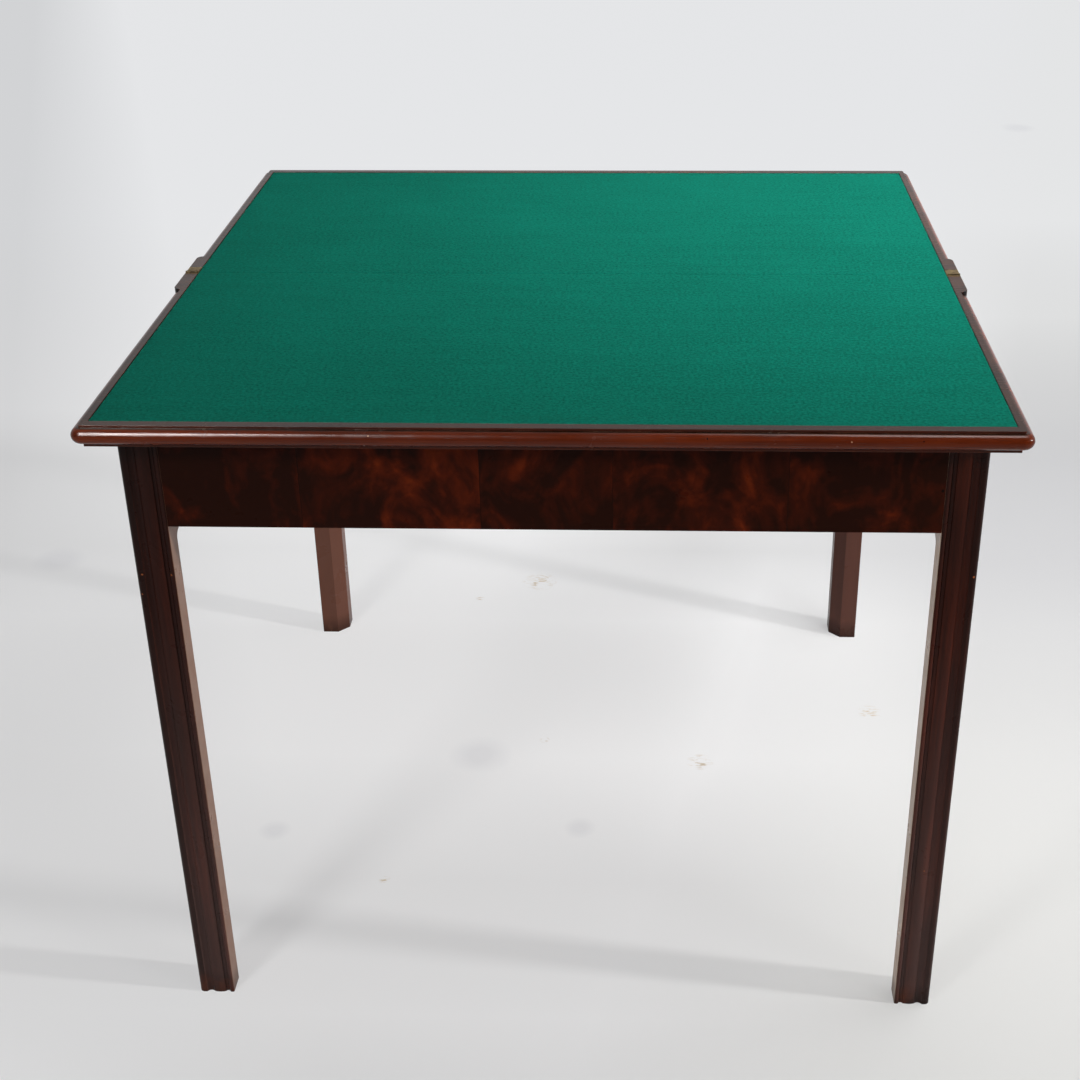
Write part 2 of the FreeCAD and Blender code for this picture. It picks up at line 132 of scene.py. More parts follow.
def make_lamp(name, place, aim, size, power, colour, spread=180, diffuse=True, gloss=True):
    """A rectangular lamp. spread is in degrees, and diffuse and gloss say what it lights."""
    data = bpy.data.lights.new(name, "AREA")
    data.spread = math.radians(spread)
    data.shape = "RECTANGLE"
    data.size, data.size_y = size
    data.energy = power
    data.color = colour
    lamp = bpy.data.objects.new(name, data)
    lamp.location = place
    lamp.visible_diffuse, lamp.visible_glossy = diffuse, gloss
    lamp.rotation_euler = (Vector(aim) - Vector(place)).to_track_quat("-Z", "Y").to_euler()
    bpy.context.scene.collection.objects.link(lamp)


# Shader graphs

MARK_SOFTNESS = 0.25
# Samples of the nodes that look around a place
ROUNDING_SAMPLES = 4
HOLLOW_SAMPLES = 4


class Graph:
    """The node tree of a material or world, with short calls that add a node and give its output."""

    def __init__(self, owner):
        self.owner = owner
        self.owner.use_nodes = True
        self.tree = self.owner.node_tree
        self.tree.nodes.clear()
        self.coordinates = self.add("TexCoord").outputs
        self.place = self.coordinates["Object"]

    def put(self, socket, value):
        """Link a socket to the value, or set it where the value is a constant."""
        if isinstance(value, bpy.types.NodeSocket):
            self.tree.links.new(value, socket)
        else:
            socket.default_value = value

    def add(self, kind, inputs=None, **settings):
        made = self.tree.nodes.new("ShaderNode" + kind)
        for key, value in settings.items():
            setattr(made, key, value)
        for key, value in (inputs or {}).items():
            self.put(made.inputs[key], value)
        return made

    def parts(self, vector=None):
        """A vector's X, Y and Z, or those of the place on the surface."""
        return self.add("SeparateXYZ", {0: self.place if vector is None else vector}).outputs

    def scaled(self, scale):
        return self.add("Mapping", {"Vector": self.place, "Scale": scale}).outputs[0]

    def noise(self, vector, scale, detail=2.0, roughness=0.5, distortion=0.0):
        inputs = {
            "Vector": vector, "Scale": scale, "Detail": detail, "Roughness": roughness, "Distortion": distortion,
        }
        return self.add("TexNoise", inputs).outputs[0]

    def ramp(self, value, low, high, bottom=0.0, top=1.0):
        inputs = {"Value": value, "From Min": low, "From Max": high, "To Min": bottom, "To Max": top}
        return self.add("MapRange", inputs, clamp=True).outputs[0]

    def colour_ramp(self, value, stops):
        """A colour for each value, from stops given as value and colour in rising order."""
        made = self.add("ValToRGB", {"Fac": value})
        elements = made.color_ramp.elements
        for element, (place, colour) in zip((elements[0], elements[1]), (stops[0], stops[-1])):
            element.position, element.color = place, colour
        for place, colour in stops[1:-1]:
            elements.new(place).color = colour
        return made.outputs["Color"]

    def math(self, operation, *values):
        return self.add("Math", dict(enumerate(values)), operation=operation).outputs[0]

    def centred(self, layer, strength):
        """A noise layer as a swing to both sides of zero."""
        return self.math("MULTIPLY", self.math("SUBTRACT", layer, 0.5), strength)

    def near(self, value, middle, reach, core, top=1.0):
        """top within core of the middle, and 0 from reach on."""
        apart = self.math("ABSOLUTE", self.math("SUBTRACT", value, middle))
        return self.ramp(apart, reach, core, 0.0, top)

    def mix(self, share, first, second, blend="MIX"):
        made = self.add("Mix", {"Factor": share}, data_type="RGBA", blend_type=blend)
        self.put(made.inputs[6], first)
        self.put(made.inputs[7], second)
        return made.outputs[2]

    def spot(self, centre, radius, wobble, soft):
        """A blot around a point, with its outline broken by noise."""
        apart = self.add("VectorMath", {0: self.place, 1: centre}, operation="DISTANCE").outputs["Value"]
        edge = self.math("MULTIPLY", wobble, radius)
        return self.ramp(self.math("SUBTRACT", apart, edge), soft * radius, 0.0)

    def spots(self, marks, wobble, soft=MARK_SOFTNESS):
        """Blots at marks given as centre and radius."""
        whole = None
        for centre, radius in marks:
            blot = self.spot(centre, radius, wobble, soft)
            whole = blot if whole is None else self.math("MAXIMUM", whole, blot)
        return whole

    def rounded(self, radius):
        """The normal, turned at the arrises as if they had this radius."""
        return self.add("Bevel", {"Radius": radius}, samples=ROUNDING_SAMPLES).outputs[0]

    def bump(self, strength, distance, height, normal=None):
        inputs = {"Strength": strength, "Distance": distance, "Height": height}
        if normal is not None:
            inputs["Normal"] = normal
        return self.add("Bump", inputs).outputs[0]

    def surface(self, colour, roughness, normal=None, **fixed):
        """The surface shader. Values that are the same all over sit on its own sockets."""
        shader = self.add("BsdfPrincipled", {"Base Color": colour, "Roughness": roughness})
        if normal is not None:
            self.put(shader.inputs["Normal"], normal)
        for key, value in fixed.items():
            shader.inputs[key.replace("_", " ")].default_value = value
        return shader.outputs[0]

    def finished(self, surface, kind="OutputMaterial"):
        """The material or world, once its surface is linked to its output."""
        self.add(kind, {"Surface": surface})
        return self.owner


# Timber

AXES = "xyz"
# Noise layers of a timber: stretch along the grain, then scale, detail, roughness and distortion
GRAIN_LAYERS = {
    "broad": (0.22, 16.0, 3.0, 0.55, 0.6),
    "ribbon": (0.05, 75.0, 4.0, 0.6, 0.25),
    "fibre": (0.02, 620.0, 3.0, 0.6),
    "pores": (0.035, 1150.0, 1.0, 0.4),
}
SMUDGE_NOISE = (24.0, 4.0, 0.6, 0.4)
DENT_NOISE = (95.0, 2.0, 0.6)
# Noise values at which a mask begins and is full
SMUDGE_RANGE = (0.30, 0.72)
PORE_RANGE = (0.36, 0.27)
DENT_RANGE = (0.34, 0.22)
WEAR_BREAKS = (0.42, 0.62)
SCUFF_BREAKS = (0.52, 0.66)
# Places of the dark, middle and light tone among the tone values
TONE_STOPS = (0.22, 0.5, 0.80)
# Relief: depth of the whole, then the shares of the fibres and dents in it
RELIEF_DEPTH = 0.0004
FIBRE_RELIEF = 0.35
DENT_RELIEF = 0.6
# Roughness: how far the smudges swing it down and up, and what the pores add
ROUGHNESS_FALL, ROUGHNESS_RISE, PORE_ROUGHNESS = 0.06, 0.10, 0.20
# Shares of a timber's dark tone, in its pores and places of painted shade, and in its hollows, where it is grime
# and painted shade
SHADED = 0.30
GRIME_AND_SHADE_SHARE = 0.22
# Hollows: how wide they are at most, and the openness at which their grime and painted shade begin and are full
HOLLOW_WIDTH = 0.007
HOLLOW_RANGE = (0.94, 0.52)
# Arrises: their radius, and the cosine of the normal's turn at which wear begins and is full
ARRIS_RADIUS = 0.0007
FINE_ARRIS_RADIUS = 0.0004
WEAR_TURN = (0.985, 0.86)
# Upward part of the normal at which a face counts as level
LEVEL_RANGE = (0.9, 0.99)
# Heights at which a leg starts to darken with painted shade towards the frieze, to pale towards the floor, and
# to be dark and scuffed at its foot, each with the height where this is full, and how strong the two dark parts
# are
LEG_SHADE_RISE, LEG_SHADE_STRENGTH = (0.42, 0.60), 0.45
LEG_PALE_FALL = (0.52, 0.12)
FOOT_SHADE_FALL, FOOT_SHADE_STRENGTH = (0.030, 0.004), 0.6
FOOT_SCUFF_FALL = (0.035, 0.0)
# How far inside a leg's inner planes a place already counts as on them
CHAMFER_SLACK, INNER_SLACK = 0.0010, 0.0004
# Half widths of the dark lines at the joint and behind the brass blocks: with their soft edge, and without
JOINT_LINE = (0.0018, 0.0009)
BLOCK_LINE = (0.0009, 0.0003)
LOW_PALE_COLOUR = linear(130, 112, 108)
JOINT_COLOUR = linear(12, 6, 5)
DARK_MARK_COLOUR = linear(14, 6, 5)


class Timber(Graph):
    """Polished or raw timber whose grain runs along one axis.

    tones are its dark, middle and light colour, and rub is the colour of its rubbed arrises. look gives
    the roughness, the gloss, how strong the grain, pores and grime are, and the marks that it carries. Some
    of these are painted light: painted shade in the hollows and on the legs, painted glare on the legs' inner
    faces, and a painted reflection on the top's level faces.
    """

    def __init__(self, name, axis, tones, rub, look):
        super().__init__(bpy.data.materials.new(name))
        self.dark, self.rub, self.look = tones[0], rub, look
        self.smudge = self.noise(self.place, *SMUDGE_NOISE)
        self.normal = self.rounded(ARRIS_RADIUS)
        grain = {}
        for layer, (stretch, *settings) in GRAIN_LAYERS.items():
            scale = [1.0, 1.0, 1.0]
            scale[AXES.index(axis)] = stretch
            grain[layer] = self.noise(self.scaled(scale), *settings)
        self.fibre = grain["fibre"]
        self.pores = self.ramp(grain["pores"], *PORE_RANGE, 0.0, look["pores"])

        tone = self.math("MULTIPLY_ADD", grain["ribbon"], look["ribbon"], 0.5 - look["ribbon"] / 2)
        for layer in ("broad", "fibre"):
            tone = self.math("ADD", tone, self.centred(grain[layer], look[layer]))
        self.colour = self.colour_ramp(tone, list(zip(TONE_STOPS, tones)))
        self.lay(self.pores, darker(self.dark, SHADED))
        finishes = {
            "grime_and_shade": self.lay_grime_and_shade, "wear": self.lay_wear, "painted_reflection": self.lay_painted_reflection, "low_paling": self.lay_frieze_shade_and_low_paling,
            "inner": self.lay_inner_pale_and_glare, "outer_shade": self.lay_outer_shade, "joint_dirt": self.lay_joint_dirt,
            "marks": self.lay_marks, "dark_marks": self.lay_dark_marks, "feet": self.lay_feet,
        }
        for key, lay_finish in finishes.items():
            if key in look:
                lay_finish(look[key])

    def lay(self, mask, colour):
        """Cover the colour so far with another one where the mask is 1."""
        self.colour = self.mix(mask, self.colour, colour)

    def lay_grime_and_shade(self, strength):
        """Darken the hollows with grime and painted shade, by how closed in each place is."""
        inputs, settings = {"Distance": HOLLOW_WIDTH}, {"samples": HOLLOW_SAMPLES, "only_local": True}
        openness = self.add("AmbientOcclusion", inputs, **settings).outputs["AO"]
        self.lay(self.ramp(openness, *HOLLOW_RANGE, 0.0, strength), darker(self.dark, GRIME_AND_SHADE_SHARE))

    def lay_wear(self, strength):
        """Rub the arrises, which show in the turn of the rounded normal against the flat one."""
        flat = self.add("NewGeometry").outputs["Normal"]
        along = self.add("VectorMath", {0: self.normal, 1: flat}, operation="DOT_PRODUCT").outputs["Value"]
        turned = self.ramp(along, *WEAR_TURN)
        rubbed = self.math("MULTIPLY", turned, self.ramp(self.smudge, *WEAR_BREAKS))
        self.lay(self.math("MULTIPLY", rubbed, strength), self.rub)

    def lay_painted_reflection(self, tint):
        """Tint the flat faces that look up: a painted reflection of the pale surroundings, which greys the wood.
        """
        upward = self.parts(self.coordinates["Normal"])["Z"]
        self.lay(self.ramp(upward, *LEVEL_RANGE), self.mix(1.0, self.colour, tint, "MULTIPLY"))

    def lay_frieze_shade_and_low_paling(self, strength):
        """Paint shade on the legs towards the frieze, and make them paler towards the floor."""
        height = self.parts()["Z"]
        self.lay(self.ramp(height, *LEG_SHADE_RISE, 0.0, LEG_SHADE_STRENGTH), darker(self.dark, SHADED))
        self.lay(self.ramp(height, *LEG_PALE_FALL, 0.0, strength), LOW_PALE_COLOUR)

    def leg_depths(self):
        """How far a place lies in from the planes of the legs' two outer faces."""
        parts = self.parts()
        return [
            self.math("SUBTRACT", outer, self.math("ABSOLUTE", parts[axis]))
            for axis, outer in (("X", LEG_OUTER_X), ("Y", LEG_OUTER_Y))
        ]

    def lay_inner_pale_and_glare(self, colour):
        """Colour the two faces and the chamfer that look into the table paler: unpolished wood with painted
        glare, and on the right a colour of their own that is painted light.
        """
        depths = self.leg_depths()
        chamfer_depth = 2 * LEG_SIZE - CHAMFER_INSET - CHAMFER_SLACK
        faces = self.math("GREATER_THAN", self.math("ADD", *depths), chamfer_depth)
        for depth in depths:
            faces = self.math("MAXIMUM", faces, self.math("GREATER_THAN", depth, LEG_SIZE - INNER_SLACK))
        on_right = self.math("GREATER_THAN", self.parts()["X"], 0.0)
        inner = self.mix(on_right, colour, self.look["inner_right_painted_light"])
        self.lay(faces, self.mix(self.look["inner_share"], self.colour, inner))

    def lay_outer_shade(self, strength):
        """Shade the flat bands beside the legs' outer corner."""
        band = self.math("LESS_THAN", self.math("MAXIMUM", *self.leg_depths()), LEG_BAND)
        self.lay(self.math("MULTIPLY", band, strength), darker(self.dark, SHADED))

    def lay_joint_dirt(self, strength):
        """The dark line where the leaves meet, and the one behind each brass block."""
        parts = self.parts()
        joint = self.near(parts["Y"], 0.0, *JOINT_LINE)
        behind = self.near(parts["Y"], BLOCK_REAR_Y, *BLOCK_LINE)
        at_block = self.math("GREATER_THAN", self.math("ABSOLUTE", parts["X"]), BLOCK_INNER_X)
        lines = self.math("MAXIMUM", joint, self.math("MULTIPLY", behind, at_block))
        self.lay(self.math("MULTIPLY", lines, strength), JOINT_COLOUR)

    def lay_marks(self, marks):
        self.lay(self.spots(marks, self.smudge), self.look["mark_colour"])

    def lay_dark_marks(self, marks):
        self.lay(self.spots(marks, self.smudge), DARK_MARK_COLOUR)

    def lay_feet(self, strength):
        """Shade the foot of each leg, and scuff it."""
        height = self.parts()["Z"]
        self.lay(self.ramp(height, *FOOT_SHADE_FALL, 0.0, FOOT_SHADE_STRENGTH), darker(self.dark, SHADED))
        low, broken = self.ramp(height, *FOOT_SCUFF_FALL), self.ramp(self.smudge, *SCUFF_BREAKS)
        scuffs = self.math("MULTIPLY", low, broken)
        self.lay(self.math("MULTIPLY", scuffs, strength), self.rub)

    def make(self):
        """The finished material."""
        rough = self.look["rough"]
        rough = self.ramp(self.smudge, *SMUDGE_RANGE, rough - ROUGHNESS_FALL, rough + ROUGHNESS_RISE)
        rough = self.math("ADD", rough, self.math("MULTIPLY", self.pores, PORE_ROUGHNESS))
        dents = self.ramp(self.noise(self.place, *DENT_NOISE), *DENT_RANGE)
        height = self.math("SUBTRACT", self.math("MULTIPLY", self.fibre, FIBRE_RELIEF), self.pores)
        height = self.math("SUBTRACT", height, self.math("MULTIPLY", dents, DENT_RELIEF))
        bump = self.bump(self.look["bump"], RELIEF_DEPTH, height, self.normal)
        return self.finished(self.surface(self.colour, rough, bump, Specular_IOR_Level=self.look["gloss"]))


# Flame veneer

# How much lighter or darker than the rest each panel is, from the left
PANEL_LIFTS = (-0.07, 0.075, -0.015, 0.0, -0.01)
# How near a panel's number has to be to count as that number
NUMBER_REACH = 0.1
# How far the figure moves along X and Y from one panel to the next
PANEL_SHIFTS = (0.37, 0.71)
# The flame's lean about Y in degrees, and how it and the upright stripes are stretched
FLAME_TURN = 55
FLAME_SCALE = (1.0, 1.0, 0.70)
STRIPE_SCALE = (1.0, 1.0, 0.16)
# Noise layers: scale, detail, roughness and distortion
FLAME_NOISE = (19.0, 3.0, 0.55, 0.9)
FEATHER_NOISE = (60.0, 4.0, 0.6, 0.9)
STRIPE_NOISE = (42.0, 3.0, 0.55, 0.4)
VENEER_FIBRE_NOISE = (900.0, 2.0, 0.5)
VENEER_SMUDGE_NOISE = (22.0, 4.0, 0.6, 0.3)
FEATHER_STRENGTH, STRIPE_STRENGTH = 0.30, 0.16
# Smudge values, and the roughness at each
VENEER_ROUGHNESS = (0.3, 0.7, 0.26, 0.42)
VENEER_BUMP, VENEER_RELIEF = 0.10, 0.0003
VENEER_GLOSS = 0.05
FLAME_STOPS = [
    (0.42, linear(37, 11, 3)), (0.55, linear(58, 17, 4)), (0.66, linear(85, 27, 6)), (0.80, linear(116, 42, 10)),
]
# Half width of a seam with its soft edge and without, and how dark it is
SEAM_LINE = (0.0006, 0.0002, 0.45)
SEAM_COLOUR = linear(20, 8, 5)
# Two small holes painted as dark spots, the painted shade of their insides; the veneer's shape has no holes.
PAINTED_FRIEZE_HOLES = [((0.3800, -0.4275, 0.6570), 0.0022), ((0.3560, -0.4275, 0.6880), 0.0010)]
HOLE_SHADE_COLOUR = linear(9, 4, 3)


def panel_number(graph, across):
    """0 on the left panel of the frieze to 4 on the right one."""
    panel = None
    for seam in VENEER_SEAMS:
        step = graph.math("GREATER_THAN", across, seam)
        panel = step if panel is None else graph.math("ADD", panel, step)
    return panel


def make_veneer():
    """Flame mahogany in five panels, each with its own figure."""
    graph = Graph(bpy.data.materials.new("flame_veneer_polished"))
    across = graph.parts()["X"]
    panel = panel_number(graph, across)
    shifts = [graph.math("MULTIPLY", panel, shift) for shift in PANEL_SHIFTS]
    shift = graph.add("CombineXYZ", dict(enumerate(shifts))).outputs[0]
    place = graph.add("VectorMath", {0: graph.place, 1: shift}, operation="ADD").outputs[0]
    turn = (0.0, math.radians(FLAME_TURN), 0.0)
    turned = graph.add("Mapping", {"Vector": place, "Rotation": turn, "Scale": FLAME_SCALE}).outputs[0]
    upright = graph.add("Mapping", {"Vector": place, "Scale": STRIPE_SCALE}).outputs[0]

    amount = graph.noise(turned, *FLAME_NOISE)
    feather = graph.noise(turned, *FEATHER_NOISE)
    stripe = graph.noise(upright, *STRIPE_NOISE)
    for layer, strength in ((feather, FEATHER_STRENGTH), (stripe, STRIPE_STRENGTH)):
        amount = graph.math("ADD", amount, graph.centred(layer, strength))
    for number, lift in enumerate(PANEL_LIFTS):
        chosen = graph.math("COMPARE", panel, float(number), NUMBER_REACH)
        amount = graph.math("ADD", amount, graph.math("MULTIPLY", chosen, lift))
    colour = graph.colour_ramp(amount, FLAME_STOPS)
    for seam in VENEER_SEAMS:
        colour = graph.mix(graph.near(across, seam, *SEAM_LINE), colour, SEAM_COLOUR)
    smudge = graph.noise(graph.place, *VENEER_SMUDGE_NOISE)
    # The holes' painted shade.
    colour = graph.mix(graph.spots(PAINTED_FRIEZE_HOLES, smudge), colour, HOLE_SHADE_COLOUR)

    rough = graph.ramp(smudge, *VENEER_ROUGHNESS)
    fibre = graph.noise(upright, *VENEER_FIBRE_NOISE)
    bump = graph.bump(VENEER_BUMP, VENEER_RELIEF, fibre, graph.rounded(FINE_ARRIS_RADIUS))
    return graph.finished(graph.surface(colour, rough, bump, Specular_IOR_Level=VENEER_GLOSS))


# Baize and brass

BAIZE_STOPS = [(0.36, linear(3, 72, 58)), (0.64, linear(9, 107, 90))]
# Noise layers of the cloth: its share of the tone, its stretch, then scale, detail, roughness and distortion
BAIZE_LAYERS = {
    "mottle": (0.60, (1.0, 1.0, 1.0), 300.0, 3.0, 0.62),
    "nap": (0.22, (1.0, 2.0, 1.0), 1500.0, 2.0, 0.6),
    "bands": (0.09, (0.16, 1.0, 1.0), 55.0, 3.0, 0.55, 0.3),
    "patches": (0.09, (1.0, 1.0, 1.0), 5.0, 2.0, 0.5),
}
MOTTLE_RELIEF = 1.4
BAIZE_BUMP, BAIZE_RELIEF = 0.55, 0.0005
BAIZE_ROUGHNESS = 0.95
BAIZE_SHEEN = {
    "Specular_IOR_Level": 0.02, "Sheen_Weight": 0.06, "Sheen_Roughness": 0.45,
    "Sheen_Tint": (0.10, 0.85, 0.66, 1.0),
}
# Specks of lint: cells to a metre that can hold one, its radius in cells with its soft edge and without, how
# strong it is, and the share of cells that stay free
LINT_SCALE = 34.0
LINT_RANGE = (0.022, 0.012)
LINT_STRENGTH = 0.5
LINT_FREE = 0.72
LINT_COLOUR = linear(90, 160, 140)
BRASS_STOPS = [(0.36, linear(62, 50, 33)), (0.5, linear(104, 87, 56)), (0.68, linear(138, 118, 76))]
TARNISH_NOISE = (210.0, 5.0, 0.65, 0.5)
SCRATCH_SCALE = (0.15, 1.0, 1.0)
SCRATCH_NOISE = (1600.0, 2.0, 0.6)
# Tarnish values, and the roughness at each
BRASS_ROUGHNESS = (0.3, 0.7, 0.62, 0.46)
BRASS_BUMP, BRASS_RELIEF = 0.12, 0.0002
BRASS_METALLIC = 0.9
# The darkened line in front of the knuckles, at the joint: its middle along Y, its half width with its soft edge
# and without, and how far down it reaches
BRASS_LINE = (-0.0012, 0.0013, 0.0006)
BRASS_LINE_DEPTH = 0.003
BRASS_LINE_COLOUR = linear(24, 18, 12)
BRASS_LINE_STRENGTH = 0.85


def make_baize():
    graph = Graph(bpy.data.materials.new("baize_wool"))
    layers, tone = {}, None
    for name, (share, stretch, *settings) in BAIZE_LAYERS.items():
        layers[name] = graph.noise(graph.scaled(stretch), *settings)
        portion = graph.math("MULTIPLY", layers[name], share)
        tone = portion if tone is None else graph.math("ADD", tone, portion)
    colour = graph.colour_ramp(tone, BAIZE_STOPS)
    lint = graph.add("TexVoronoi", {"Vector": graph.place, "Scale": LINT_SCALE, "Randomness": 1.0}).outputs
    speck = graph.ramp(lint["Distance"], *LINT_RANGE, 0.0, LINT_STRENGTH)
    chance = graph.add("SeparateColor", {0: lint["Color"]}).outputs[0]
    lint_mask = graph.math("MULTIPLY", speck, graph.math("GREATER_THAN", chance, LINT_FREE))
    colour = graph.mix(lint_mask, colour, LINT_COLOUR)
    height = graph.math("ADD", layers["nap"], graph.math("MULTIPLY", layers["mottle"], MOTTLE_RELIEF))
    bump = graph.bump(BAIZE_BUMP, BAIZE_RELIEF, height)
    return graph.finished(graph.surface(colour, BAIZE_ROUGHNESS, bump, **BAIZE_SHEEN))


def make_brass():
    graph = Graph(bpy.data.materials.new("brass_aged"))
    tarnish = graph.noise(graph.place, *TARNISH_NOISE)
    parts = graph.parts()
    in_front = graph.near(parts["Y"], *BRASS_LINE)
    at_top = graph.ramp(parts["Z"], TABLE_TOP - BRASS_LINE_DEPTH, TABLE_TOP)
    darkened_line = graph.math("MULTIPLY", graph.math("MULTIPLY", in_front, at_top), BRASS_LINE_STRENGTH)
    colour = graph.mix(darkened_line, graph.colour_ramp(tarnish, BRASS_STOPS), BRASS_LINE_COLOUR)
    rough = graph.ramp(tarnish, *BRASS_ROUGHNESS)
    scratches = graph.noise(graph.scaled(SCRATCH_SCALE), *SCRATCH_NOISE)
    bump = graph.bump(BRASS_BUMP, BRASS_RELIEF, scratches, graph.rounded(FINE_ARRIS_RADIUS))
    return graph.finished(graph.surface(colour, rough, bump, Metallic=BRASS_METALLIC))


# Materials of the CAD nodes

# Marks and holes: centre and radius
TOP_MARKS = [
    ((0.4535, -0.4495, 0.7225), 0.0016), ((0.4555, -0.4440, 0.7205), 0.0012),
    ((-0.170, -0.4560, 0.7240), 0.0010), ((0.285, -0.4568, 0.7215), 0.0011),
]
TOP_DARK_MARKS = [
    ((-0.295, -0.4545, 0.7245), 0.0018), ((-0.232, -0.4560, 0.7225), 0.0013),
    ((-0.060, -0.4562, 0.7220), 0.0012), ((0.150, -0.4560, 0.7235), 0.0015),
    ((0.352, -0.4565, 0.7225), 0.0012), ((-0.385, -0.4525, 0.7260), 0.0012),
    ((-0.4560, -0.0600, 0.7270), 0.0075), ((0.4560, -0.0600, 0.7270), 0.0075),
]
LEG_MARKS = [
    ((-0.3867, -0.4275, 0.5555), 0.0022), ((-0.4160, -0.4275, 0.5560), 0.0020),
    ((-0.4190, -0.4275, 0.5330), 0.0015), ((0.4190, -0.4275, 0.5620), 0.0018),
    ((0.4010, -0.4275, 0.1930), 0.0014),
]

# Looks of the timbers
POLISH = {
    "rough": 0.30, "gloss": 0.10, "bump": 0.16,
    # The hollows are darkened with grime and painted shade.
    "ribbon": 0.8, "broad": 0.7, "fibre": 0.18, "pores": 0.45, "grime_and_shade": 0.92, "wear": 0.40,
}
TOP_LOOK = {
    # The top's level faces are greyed with a painted reflection of the pale surroundings.
    **POLISH, "gloss": 0.18, "rough": 0.20, "wear": 0.45, "joint_dirt": 0.85, "painted_reflection": linear(138, 188, 206),
    "marks": TOP_MARKS, "dark_marks": TOP_DARK_MARKS, "mark_colour": linear(196, 150, 116),
}
LEG_LOOK = {
    # The legs pale towards the floor, and carry painted shade towards the frieze and on their outer bands.
    **POLISH, "feet": 0.5, "outer_shade": 0.55, "low_paling": 0.19,
    "marks": LEG_MARKS, "mark_colour": linear(150, 84, 48),
    # Inner faces: paler wood with painted glare, and on the right legs a colour of their own that is painted
    # light.
    "inner": linear(142, 106, 86), "inner_right_painted_light": linear(196, 170, 148), "inner_share": 0.8,
}
# The rear legs' own copy of the legs' material, kept lighter for the light they catch: a paler rub, painted
# light on their inner faces, and none of the front legs' painted shade.
REAR_LEG_LOOK = {
    **POLISH, "feet": 0.4, "inner": linear(124, 84, 70), "inner_right_painted_light": linear(96, 63, 54), "inner_share": 0.8,
}
RAW_LOOK = {
    "rough": 0.72, "gloss": 0.2, "bump": 0.4,
    "ribbon": 0.9, "broad": 0.7, "fibre": 0.5, "pores": 0.7, "wear": 0.25,
}
TOP_TONES = (linear(61, 21, 4), linear(91, 31, 5), linear(121, 46, 10))
LEG_TONES = (linear(38, 14, 7), linear(58, 21, 11), linear(92, 34, 16))
RAIL_TONES = (linear(46, 20, 13), linear(72, 32, 20), linear(106, 50, 30))
OAK_TONES = (linear(118, 88, 58), linear(158, 124, 84), linear(188, 156, 112))
RAIL_RUB = linear(118, 66, 44)
OAK_RUB = linear(196, 168, 124)
# For each slot and grain axis: the material's name, its tones, its rubbed colour and its look
TIMBERS = {
    ("top_mahogany", "x"): ("mahogany_top", TOP_TONES, linear(176, 120, 92), TOP_LOOK),
    ("leg_mahogany", "z"): ("mahogany_leg", LEG_TONES, linear(118, 62, 40), LEG_LOOK),
    ("rear_leg", "z"): ("mahogany_rear_leg", LEG_TONES, linear(140, 92, 72), REAR_LEG_LOOK),
    ("rail_mahogany", "y"): ("mahogany_side", RAIL_TONES, RAIL_RUB, POLISH),
    ("rail_mahogany", "x"): ("mahogany_rear", RAIL_TONES, RAIL_RUB, POLISH),
    ("oak", "x"): ("oak_across", OAK_TONES, OAK_RUB, RAW_LOOK),
    ("oak", "y"): ("oak_along", OAK_TONES, OAK_RUB, RAW_LOOK),
}
GRAIN_ALONG_Y = ("slide_keepers", "bearer_slide")


def grain_axis(node):
    """The axis of a node's grain: up a leg, and along the longer side of the rest."""
    if "leg" in node:
        return "z"
    low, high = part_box(node)
    size = high - low
    return "y" if node in GRAIN_ALONG_Y or size.x <= size.y else "x"


def dress_nodes():
    """Put the materials on the slots of the CAD nodes, and give the two that the scene's pieces share."""
    timbers = {
        (slot, axis): Timber(name, axis, tones, rub, look).make()
        for (slot, axis), (name, tones, rub, look) in TIMBERS.items()
    }
    others = {"flame_veneer": make_veneer(), "baize": make_baize(), "brass": make_brass()}
    slots = {part["node"]: part["material_slot"] for part in frame["record"]["subparts"]}
    for node, piece in frame["nodes"].items():
        slot = "rear_leg" if "rear_leg" in node else slots[node]
        material = others.get(slot) or timbers[slot, grain_axis(node)]
        for place in piece.material_slots:
            place.material = material
    return others["baize"], others["brass"]


# Pieces of the scene

# Distances in from a cloth's edge, and how far its top has dropped there
CLOTH_INSETS = (0.0, 0.00018, 0.0006, 0.0014)
CLOTH_DROPS = (0.00085, 0.00034, 0.00009, 0.0)
CLOTH_CELLS_X, CLOTH_CELLS_Y = 176, 88
# At the hinge line the cloth keeps this far off it, and drops only this share
HINGE_GAP = 0.00012
HINGE_DROP = 0.35
HINGE_ZONE = 0.1
# The trimmed edge away from the hinge line: how much it wavers, and how many waves to a metre
TRIM_ZONE = 0.2
TRIM_SWING = 0.00022
TRIM_WAVES = 60
# Places in the noise for the front and back edges, and for all of them
TRIM_SEED, TRIM_LAYER = 2.5, 0.3
# How far the cloth's underside stays over its panel
CLOTH_LIFT = 0.00002
# Unevenness of the cloth: height, then waves to a metre along X and along Y
CLOTH_WAVES = ((0.00007, 9, 14), (0.00003, 90, 120))

# Screws of the flaps' and rails' hinges, and of the card hinges' side straps
HINGE_MIDDLE = 0.659
INNER_PIN_X = 0.4022
OUTER_PIN_X = 0.4228
PIN_YS = {"front": -0.1115, "middle": 0.13785, "rear": 0.3872}
HALF_JOINT = 0.0003
HINGE_SCREW_REACH = 0.0112
HINGE_SCREW_RISES = (-0.026, 0.0, 0.026)
HINGE_SCREW_RADIUS = 0.0026
STRAP_FACE_X = 0.4572
STRAP_MIDDLE = 0.7185
STRAP_SCREW_YS = (0.0285, 0.0420)
STRAP_SCREW_RADIUS = 0.0028
# Heights of a screw head's top and of its slot's floor
SCREW_PROUD = 0.00016
SCREW_FLOOR = 0.00004
